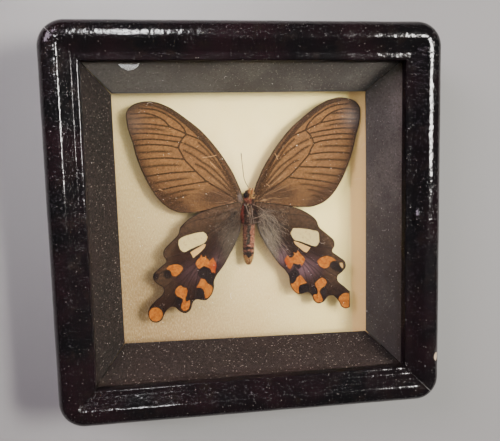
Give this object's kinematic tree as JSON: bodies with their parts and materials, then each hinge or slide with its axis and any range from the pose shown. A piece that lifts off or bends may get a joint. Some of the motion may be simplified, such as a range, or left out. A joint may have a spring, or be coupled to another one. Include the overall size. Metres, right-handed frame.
{
  "type": "framed butterfly specimen",
  "caption": "Large tailed butterfly mounted belly up on a cream card in a deep square lacquered box frame with sloping black liner and glass.",
  "frame": {"origin": "middle of the back, on the face that rests on a surface", "axes": "+Z out of the glass, +Y towards the top of the picture, +X to the right of the picture"},
  "size_m": [0.164, 0.164, 0.0413],
  "materials": {
    "lacquer": "high gloss dark brown-black lacquer on wood, thick and uneven",
    "glass": "clear, slightly dusty",
    "liner": "matt grainy black card",
    "card": "aged cream card, tan on the folded flap",
    "board": "raw brown fibreboard",
    "body": "dry hair and scales, red, pink and black",
    "antenna": "dull dark horn",
    "forewing": "satin tan-brown scales with dark veins",
    "hindwing": "dark brown scales with white and orange patches"
  },
  "bodies": {
    "root": {"rail_top": "lacquer", "rail_right": "lacquer", "rail_bottom": "lacquer", "rail_left": "lacquer", "glass": "glass", "liner_top": "liner", "liner_right": "liner", "liner_bottom": "liner", "liner_left": "liner", "backing_card": "card", "backboard": "board", "body": "body", "antenna": "antenna", "forewing_left": "forewing", "forewing_right": "forewing", "hindwing_left": "hindwing", "hindwing_right": "hindwing"}
  },
  "joints": []
}
